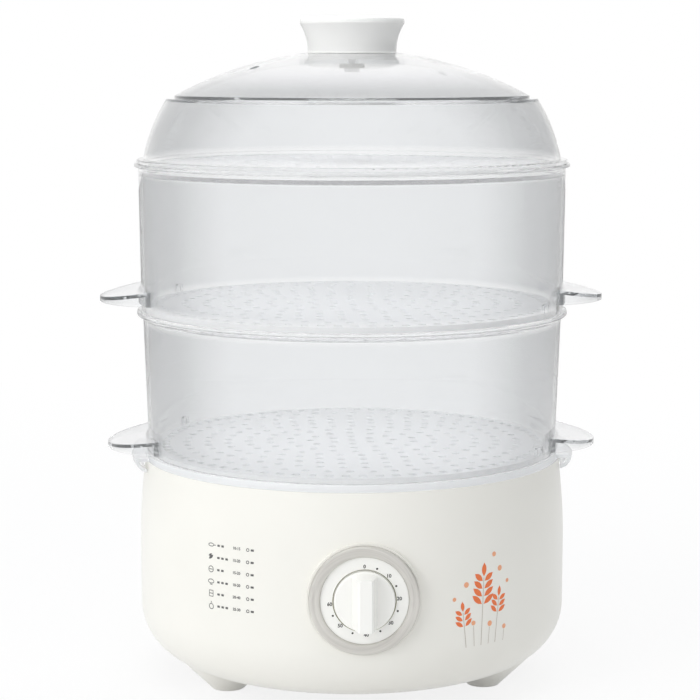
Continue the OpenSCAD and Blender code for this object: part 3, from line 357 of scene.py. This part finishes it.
def lay_film(name, parts, node, ray, material):
    """Joins flat parts, cuts them so that they bend, and lays them on a CAD node's surface."""
    bpy.ops.object.select_all(action="DESELECT")
    for part in parts:
        part.select_set(True)
    bpy.context.view_layer.objects.active = parts[0]
    if len(parts) > 1:
        bpy.ops.object.join()
    film = parts[0]
    film.name = film.data.name = name
    spans = [(film.bound_box[0][i], film.bound_box[6][i]) for i in (0, 1)]
    bpy.ops.object.mode_set(mode="EDIT")
    for way, (low, high) in zip(((1, 0, 0), (0, 1, 0)), spans):
        for cut in range(math.ceil(low / FILM_CUT), math.ceil(high / FILM_CUT)):
            bpy.ops.mesh.select_all(action="SELECT")
            bpy.ops.mesh.bisect(plane_co=[cut * FILM_CUT * share for share in way], plane_no=way)
    bpy.ops.object.mode_set(mode="OBJECT")
    for vertex in film.data.vertices:
        start, way = ray(vertex.co.x, vertex.co.y)
        struck, place, _, _ = nodes[node].ray_cast(start, way)
        if not struck:
            raise ValueError(f"{name} misses {node}")
        vertex.co = place - way * FILM
    film.data.materials.append(material)
    film.select_set(False)
    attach(film, "base")


def wall_ray(middle):
    """Rays to the housing's wall: across is an arc from an angle that is counted from the dial."""
    def ray(across, up):
        angle = math.radians(middle) + across / WALL_R
        way = Vector((-math.sin(angle), math.cos(angle), 0))
        return Vector((0, 0, up)) - way * (WALL_R + RAY_START), way
    return ray


CHART_TOP = 91.6
CHART_PITCH = 6.48
CHART_ANGLE = -35.5
CHART_ROWS = ("10-15", "15-20", "15-20", "10-20", "20-40", "25-30")
CHART_FIGURES = 1.5
CHART_BOLDER = 0.07
CHART_BAR = 1.1
CHART_BAR_PITCH = 2.7
CHART_SIGN_X, CHART_MINUTES_X, CHART_RING_X = -12.0, 4.6, 11.4
CHART_FIRST_BAR, CHART_LAST_BAR = (-7.8, -6.2), (13.2, 15.0)
CHART_RING_R = 0.95


def chart_icon(row, at):
    """A plain little sign for each row: grain, bean pod, bowl, dish, loaf and drop."""
    x, y = at
    if row == 0:
        return [loop((x, y), 2.0, squash=0.5), stroke((x + 2.1, y), (x + 3.0, y))]
    if row == 1:
        return [leaf((x - 1.6, y - 1.2), 4.0, 1.5, 38), leaf((x - 1.8, y + 0.4), 2.8, 1.1, 30)]
    if row == 2:
        return [loop((x, y), 1.8), stroke((x - 1.2, y), (x + 1.2, y))]
    if row == 3:
        return [loop((x, y), 2.1, squash=0.6), stroke((x - 0.9, y - 1.7), (x + 0.9, y - 1.7))]
    if row == 4:
        edges = (((-1.3, -1.6), (1.3, -1.6)), ((1.3, -1.6), (1.3, 1.6)), ((1.3, 1.6), (-1.3, 1.6)),
                 ((-1.3, 1.6), (-1.3, -1.6)), ((-1.3, 0), (1.3, 0)))
        return [stroke((x + a[0], y + a[1]), (x + b[0], y + b[1]), 0.38) for a, b in edges]
    return [loop((x, y - 0.5), 1.6), stroke((x, y + 1.3), (x, y + 2.3))]


def chart_parts():
    """Every row of the chart: its sign, two or three bars, the minutes, a ring and one more bar."""
    parts = []
    for row, minutes in enumerate(CHART_ROWS):
        y = CHART_TOP - row * CHART_PITCH
        parts += chart_icon(row, (CHART_SIGN_X, y))
        for step in range(2 + row % 2):
            start, end = [x + step * CHART_BAR_PITCH for x in CHART_FIRST_BAR]
            parts.append(stroke((start, y), (end, y), CHART_BAR))
        parts.append(digits((CHART_MINUTES_X, y), minutes, CHART_FIGURES, CHART_BOLDER))
        parts.append(loop((CHART_RING_X, y), CHART_RING_R, sides=20))
        parts.append(stroke((CHART_LAST_BAR[0], y), (CHART_LAST_BAR[1], y), CHART_BAR))
    return parts


def sprig(foot, top, pairs, length, width, spacing):
    """A stem, its leaves in pairs that stand clear of it, and one leaf on its tip."""
    lean = math.atan2(top[1] - foot[1], top[0] - foot[0])
    along, across = (math.cos(lean), math.sin(lean)), (-math.sin(lean), math.cos(lean))
    leaves = [leaf([top[i] + 0.4 * along[i] for i in (0, 1)], length, width, math.degrees(lean))]
    for pair in range(pairs):
        down = spacing * (pair + 0.45)
        for hand in (-1, 1):
            root = [top[i] - down * along[i] + hand * LEAF_ROOT * across[i] for i in (0, 1)]
            leaves.append(leaf(root, length * (0.9 + 0.06 * pair), width,
                               math.degrees(lean) + hand * LEAF_TURN))
    return stroke(foot, top, STEM_WIDTH), leaves


# Places are millimetres across the wall, counted from SPRIG_ANGLE, and up from the table. A sprig
# has its foot, its top, its pairs of leaves, a leaf's length and width, and the pairs' spacing.
SPRIG_ANGLE = 31
STEM_WIDTH = 0.45
BERRY_STEM_WIDTH = 0.35
LEAF_ROOT = 0.6
LEAF_TURN = 52
SPRIGS = (((1, 39), (2.6, 75), 4, 7.6, 3.0, 4.1),
          ((10.5, 39), (13.0, 63), 3, 5.8, 2.3, 3.2),
          ((-8.5, 39), (-10.5, 58), 3, 5.6, 2.2, 3.1))
BERRY_STEMS = (((5.8, 39), (6.6, 48)), ((-3.4, 39), (-3.9, 50)), ((16.4, 39), (17.0, 45)))
BERRIES = (((6.8, 49.8), 1.5), ((-4.0, 51.6), 1.3), ((17.1, 46.6), 1.3), ((-8.6, 72.5), 1.5),
           ((13.6, 78.5), 1.5), ((19.2, 71.0), 1.1), ((-15.8, 65.5), 1.1), ((9.6, 86.5), 1.3))
stems, blades = [], []
for plan in SPRIGS:
    stem, leaves = sprig(*plan)
    stems.append(stem)
    blades += leaves
stems += [stroke(foot, top, BERRY_STEM_WIDTH) for foot, top in BERRY_STEMS]
berries = [disc(at, radius) for at, radius in BERRIES]

chart_ink = printing_ink("printing_ink_grey", "#5A5A5A", "#666665")
lay_film("chart_print", chart_parts(), "base_housing", wall_ray(CHART_ANGLE), chart_ink)
orange_ink = printing_ink("printing_ink_orange", "#F07C46", "#EC7740")
sprig_ray = wall_ray(SPRIG_ANGLE)
lay_film("sprig_print_leaves", blades, "base_housing", sprig_ray, orange_ink)
stem_ink = printing_ink("printing_ink_stem", "#CFC6BC", "#C6BDB3")
lay_film("sprig_print_stems", stems, "base_housing", sprig_ray, stem_ink)
berry_ink = printing_ink("printing_ink_pale_orange", "#F2B08A", "#EFA97F", cloud_mm=0.7)
lay_film("sprig_print_berries", berries, "base_housing", sprig_ray, berry_ink)

# ---------------------------------------------------------------------------------------------
# Water tank and loose steam ring: the housing's polypropylene without its warm tint, moulded in a
# less polished mould, so they are slightly duller. The tank drops into the housing's top edge.
tank_pp = moulded_plastic("polypropylene_tank_white", "#F0EFEB", "#ECEBE7", 0.34)
paint(tank_pp, "water_tank", "steam_ring")

# Heater: a cast aluminium plate on a silicone seal, its heating tube in a drawn steel sheath, and
# the dry-boil thermostat and fuse in ceramic under a spring-steel clip.
seal_silicone = moulded_plastic("silicone_brick_red", "#C56B4D", "#BC6446", 0.6, peel_mm=0.5,
                                peel_depth=0.02, ior=1.41)
paint(seal_silicone, "heater_seal")
plate_aluminium = bare_metal("cast_aluminium", "#D6D7D9", 0.38, 0.8, depth=0.03)
paint(plate_aluminium, "heating_plate")
sheath_steel = bare_metal("drawn_steel_sheath", "#8F9092", 0.36, 0.5)
paint(sheath_steel, "heating_element")
ceramic = moulded_plastic("glazed_ceramic", "#ECE8DF", "#E6E1D6", 0.18, peel_mm=2.0,
                          peel_depth=0.01, ior=1.52)
paint(ceramic, "thermostat", "thermal_fuse")
clip_steel = bare_metal("spring_steel_strip", "#BDBFC1", 0.28, 0.4, along=(0.08, 1.0, 1.0))
paint(clip_steel, "thermostat_clip")

# Wires: silicone-covered copper, blue on the side of +X and brown on the other.
wire_cover, wire_tree = new_material("silicone_wire_cover")
wire_place = add(wire_tree, "ShaderNodeTexCoord").outputs["Object"]
wire_part = add(wire_tree, "ShaderNodeSeparateXYZ", {0: wire_place})
wire_half = add(wire_tree, "ShaderNodeMath", {0: wire_part.outputs["X"], 1: 0.0},
                operation="GREATER_THAN")
wire_cloud = add(wire_tree, "ShaderNodeTexNoise", {
    "Vector": wire_place, "Scale": 900.0, "Detail": 1.0})
wire_colour = add(wire_tree, "ShaderNodeMix", {
    0: wire_half.outputs[0], 6: linear("#7A4A32"), 7: linear("#3F6FA8")}, data_type="RGBA")
wire_gloss = add(wire_tree, "ShaderNodeMapRange", {
    "Value": wire_cloud.outputs[0], "To Min": 0.42, "To Max": 0.58})
wire_skin = add(wire_tree, "ShaderNodeBsdfPrincipled", {
    "Base Color": wire_colour.outputs[2], "Roughness": wire_gloss.outputs[0], "IOR": 1.41})
add(wire_tree, "ShaderNodeOutputMaterial", {"Surface": wire_skin.outputs[0]})
paint(wire_cover, "wiring")

# Cord gland, its nut and the terminal block: moulded nylon, matt from a spark-eroded mould.
nylon = moulded_plastic("nylon_moulded_white", "#EDECE9", "#E8E7E3", 0.48, peel_mm=0.5,
                        peel_depth=0.02, ior=1.53)
paint(nylon, "cord_gland", "gland_nut", "terminal_block")

# ---------------------------------------------------------------------------------------------
# Timer: a folded case of zinc-plated sheet with a brass bell and a turned steel shaft. It sits
# inside the housing, so only its bezel, dial plate and knob show from outside.
sheet_steel = bare_metal("zinc_plated_sheet", "#C4C6C8", 0.34, 2.5)
paint(sheet_steel, "timer_body")
bell_brass = bare_metal("pressed_brass", "#C3A566", 0.3, 1.5)
paint(bell_brass, "timer_bell")
shaft_steel = bare_metal("turned_steel", "#B4B6B8", 0.25, 0.3, along=(1.0, 0.05, 1.0))
paint(shaft_steel, "timer_shaft")

# Bezel: ABS with a satin silver paint. The spray leaves soft streaks that run round the ring,
# because the cloud changes STREAK_DRAW times faster across the ring than round it.
STREAK_DRAW = 14.0
dial_low, dial_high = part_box("dial_plate")
dial_x, dial_z = (dial_low.x + dial_high.x) / 2, (dial_low.z + dial_high.z) / 2
silver_paint, tree = new_material("silver_paint_satin")
place = add(tree, "ShaderNodeTexCoord").outputs["Object"]
centred = add(tree, "ShaderNodeMapping", {"Vector": place, "Location": (-dial_x, 0, -dial_z)})
flat = add(tree, "ShaderNodeVectorMath", {0: centred.outputs[0], 1: (1, 0, 1)},
           operation="MULTIPLY")
radius = add(tree, "ShaderNodeVectorMath", {0: flat.outputs[0]}, operation="LENGTH")
ring = add(tree, "ShaderNodeMath", {0: radius.outputs["Value"], 1: STREAK_DRAW},
           operation="MULTIPLY")
spread = add(tree, "ShaderNodeCombineXYZ", {"X": ring.outputs[0]})
swept = add(tree, "ShaderNodeVectorMath", {0: spread.outputs[0], 1: centred.outputs[0]},
            operation="ADD")
streak = add(tree, "ShaderNodeTexNoise", {"Vector": swept.outputs[0], "Scale": 60.0, "Detail": 3.0})
tone = add(tree, "ShaderNodeMapRange", {
    "Value": streak.outputs[0], "From Min": 0.3, "From Max": 0.7})
colour = add(tree, "ShaderNodeMix", {
    0: tone.outputs[0], 6: linear("#C9C6C0"), 7: linear("#DEDBD5")}, data_type="RGBA")
flake = add(tree, "ShaderNodeTexNoise", {"Vector": place, "Scale": 3000.0, "Detail": 1.0})
gloss = add(tree, "ShaderNodeMapRange", {"Value": flake.outputs[0], "To Min": 0.4, "To Max": 0.52})
skin = add(tree, "ShaderNodeBsdfPrincipled", {
    "Base Color": colour.outputs[2], "Metallic": 0.35, "Roughness": gloss.outputs[0], "IOR": 1.5})
add(tree, "ShaderNodeOutputMaterial", {"Surface": skin.outputs[0]})
paint(silver_paint, "timer_bezel")

# Dial plate and knob: polished ABS, whiter than the housing. The minutes, the dots between them
# and the line round the knob are printed on the plate. A mark's turn is counted from the top.
knob_abs = moulded_plastic("abs_polished_white", "#FBFAF6", "#F8F7F2", 0.22, ior=1.53)
paint(knob_abs, "dial_plate", "timer_knob")
MARK_R = 17.9
MARK_FIGURES = 1.9
MARK_BOLDER = 0.08
MARK_DOT_R = 0.55
DIAL_LINE_R = 16.45
MARKS = ((0, "0"), (21, ""), (44, "10"), (65, ""), (87, "20"), (108, ""), (131, "30"), (153, ""),
         (177, "40"), (200, ""), (224, "50"), (245, ""), (265, "60"))


def dial_ray(across, up):
    """Rays to the dial plate from the front."""
    return Vector((dial_x + across, dial_low.y - RAY_START, dial_z + up)), Vector((0, 1, 0))


figures = []
for turn, body in MARKS:
    at = (MARK_R * math.sin(math.radians(turn)), MARK_R * math.cos(math.radians(turn)))
    if body:
        figures.append(digits(at, body, MARK_FIGURES, MARK_BOLDER))
    else:
        figures.append(disc(at, MARK_DOT_R))
dial_ink = printing_ink("printing_ink_dark_grey", "#3E3E3A", "#4A4A45")
lay_film("dial_print_minutes", figures, "dial_plate", dial_ray, dial_ink)
line_ink = printing_ink("printing_ink_olive_grey", "#9A9873", "#A6A480")
dial_line = loop((0, 0), DIAL_LINE_R, sides=96)
lay_film("dial_print_line", [dial_line], "dial_plate", dial_ray, line_ink)

# ---------------------------------------------------------------------------------------------
# Clear drip tray, baskets and lid: styrene-acrylonitrile, moulded and polished clear. It bends
# light strongly, greys it on its way through the wall, and its steep edges show as dark lines.
# Painted highlight on the rims: within 4 mm of a seam height the clear tint is white, and by 7 mm
# it is back to the wall's tint.
RIM_HIGHLIGHT_NEAR = 4 * MM
RIM_HIGHLIGHT_FAR = 7 * MM
BLUISH = (1.0, 1.008, 1.015)


def clear_plastic(name, wall_tints, flat_tint, cloudy=0.05, frost=0.02, flow_mm=30.0,
                  slopes=(0.82, 0.95), highlight_rims=()):
    """Clear moulding: wall_tints says how much light gets past an upright wall, from square on to
    edge on, and flat_tint past a level face. Within a few millimetres of each rim height given, the
    tint is mixed to white: a painted highlight on the rims. Lamps shine through it, so that what is
    inside is lit."""
    material, tree = new_material(name)
    place = add(tree, "ShaderNodeTexCoord")
    flow = add(tree, "ShaderNodeTexNoise", {
        "Vector": place.outputs["Object"], "Scale": 1000 / flow_mm, "Detail": 1.0})
    bump = add(tree, "ShaderNodeBump", {
        "Height": flow.outputs[0], "Strength": 0.25, "Distance": 0.1 * MM})
    slant = add(tree, "ShaderNodeLayerWeight", {"Blend": 0.5})
    wall = add(tree, "ShaderNodeValToRGB", {0: slant.outputs["Facing"]})
    stops = wall.color_ramp.elements
    stops[0].position, stops[1].position = wall_tints[0][0], wall_tints[-1][0]
    for position, _ in wall_tints[1:-1]:
        stops.new(position)
    for stop, (_, tint) in zip(stops, wall_tints):
        stop.color = [tint * cast for cast in BLUISH] + [1]
    lie = add(tree, "ShaderNodeSeparateXYZ", {0: place.outputs["Normal"]})
    tip = add(tree, "ShaderNodeMath", {0: lie.outputs["Z"]}, operation="ABSOLUTE")
    level = add(tree, "ShaderNodeMapRange", {
        "Value": tip.outputs[0], "From Min": slopes[0], "From Max": slopes[1]})
    colour = add(tree, "ShaderNodeMix", {
        0: level.outputs[0], 6: wall.outputs[0], 7: (flat_tint, flat_tint, flat_tint * 1.01, 1)},
        data_type="RGBA")
    height = add(tree, "ShaderNodeSeparateXYZ", {0: place.outputs["Object"]})
    # Painted highlight: near each seam height the colour is mixed towards white.
    for rim_highlight_height in highlight_rims:
        off = add(tree, "ShaderNodeMath", {0: height.outputs["Z"], 1: rim_highlight_height}, operation="SUBTRACT")
        away = add(tree, "ShaderNodeMath", {0: off.outputs[0]}, operation="ABSOLUTE")
        clear = add(tree, "ShaderNodeMapRange", {
            "Value": away.outputs[0], "From Min": RIM_HIGHLIGHT_NEAR, "From Max": RIM_HIGHLIGHT_FAR})
        colour = add(tree, "ShaderNodeMix", {
            0: clear.outputs[0], 6: (1, 1, 1, 1), 7: colour.outputs[2]}, data_type="RGBA")
    skin = add(tree, "ShaderNodeBsdfPrincipled", {
        "Base Color": colour.outputs[2], "Roughness": frost, "IOR": 1.57,
        "Transmission Weight": 1.0 - cloudy, "Normal": bump.outputs[0]})
    through = add(tree, "ShaderNodeBsdfTransparent", {"Color": linear("#FDFDFD")})
    path = add(tree, "ShaderNodeLightPath")
    mix = add(tree, "ShaderNodeMixShader", {
        0: path.outputs["Is Shadow Ray"], 1: skin.outputs[0], 2: through.outputs[0]})
    tint = add(tree, "ShaderNodeVolumeAbsorption", {"Color": linear("#D9DCDD"), "Density": 14.0})
    add(tree, "ShaderNodeOutputMaterial", {"Surface": mix.outputs[0], "Volume": tint.outputs[0]})
    return material


# Each pair: how edge-on the wall is seen, and how much light gets past it.
CLEAR_WALL = ((0.0, 0.915), (0.2, 0.9), (0.29, 0.83), (0.465, 0.68), (0.68, 0.62), (0.86, 0.56),
              (0.95, 0.3))
MILKY_WALL = ((0.0, 1.0), (0.68, 0.96), (0.95, 0.85))
# Seam heights where the baskets and lid get a painted rim highlight.
RIM_HIGHLIGHT_HEIGHTS = (124.5 * MM, 205.0 * MM, 285.5 * MM)
clear_san = clear_plastic("styrene_acrylonitrile_clear_rim_highlight", CLEAR_WALL, 0.82, highlight_rims=RIM_HIGHLIGHT_HEIGHTS)
paint(clear_san, "lower_basket", "upper_basket")
lid_san = clear_plastic("styrene_acrylonitrile_lid_rim_highlight", CLEAR_WALL, 1.0, cloudy=0.02,
                        slopes=(0.895, 0.95), highlight_rims=RIM_HIGHLIGHT_HEIGHTS[2:])
paint(lid_san, "lid")
tray_san = clear_plastic("styrene_acrylonitrile_tray", MILKY_WALL, 1.0, cloudy=0.5, frost=0.08)
paint(tray_san, "drip_tray")

# Perforated floors and top plate: the same resin from an etched mould, so they are milky.
FROSTED_WALL = ((0.0, 1.0), (0.95, 0.96))
frosted_san = clear_plastic("styrene_acrylonitrile_frosted", FROSTED_WALL, 1.0, cloudy=0.8,
                            frost=0.35, flow_mm=1.5)
paint(frosted_san, "lower_floor", "upper_floor", "top_plate")

# ---------------------------------------------------------------------------------------------
# Lid knob: polypropylene like the housing but glossier, held from inside by a stainless screw on
# a silicone washer. Its white is lighter than the housing's, partly its own colour and partly
# painted light that lifts the knob.
lid_knob_pp_painted_light = moulded_plastic("polypropylene_knob_white_painted_light", "#FFFFFD", "#FCFBF8", 0.24)
paint(lid_knob_pp_painted_light, "lid_knob")
stainless = bare_metal("stainless_steel_satin", "#E4E4E3", 0.34, 0.6)
paint(stainless, "knob_screw")
washer_silicone = moulded_plastic("silicone_white", "#F8F7F4", "#F4F3EF", 0.55, peel_mm=0.5,
                                  peel_depth=0.02, ior=1.41)
paint(washer_silicone, "knob_washer")
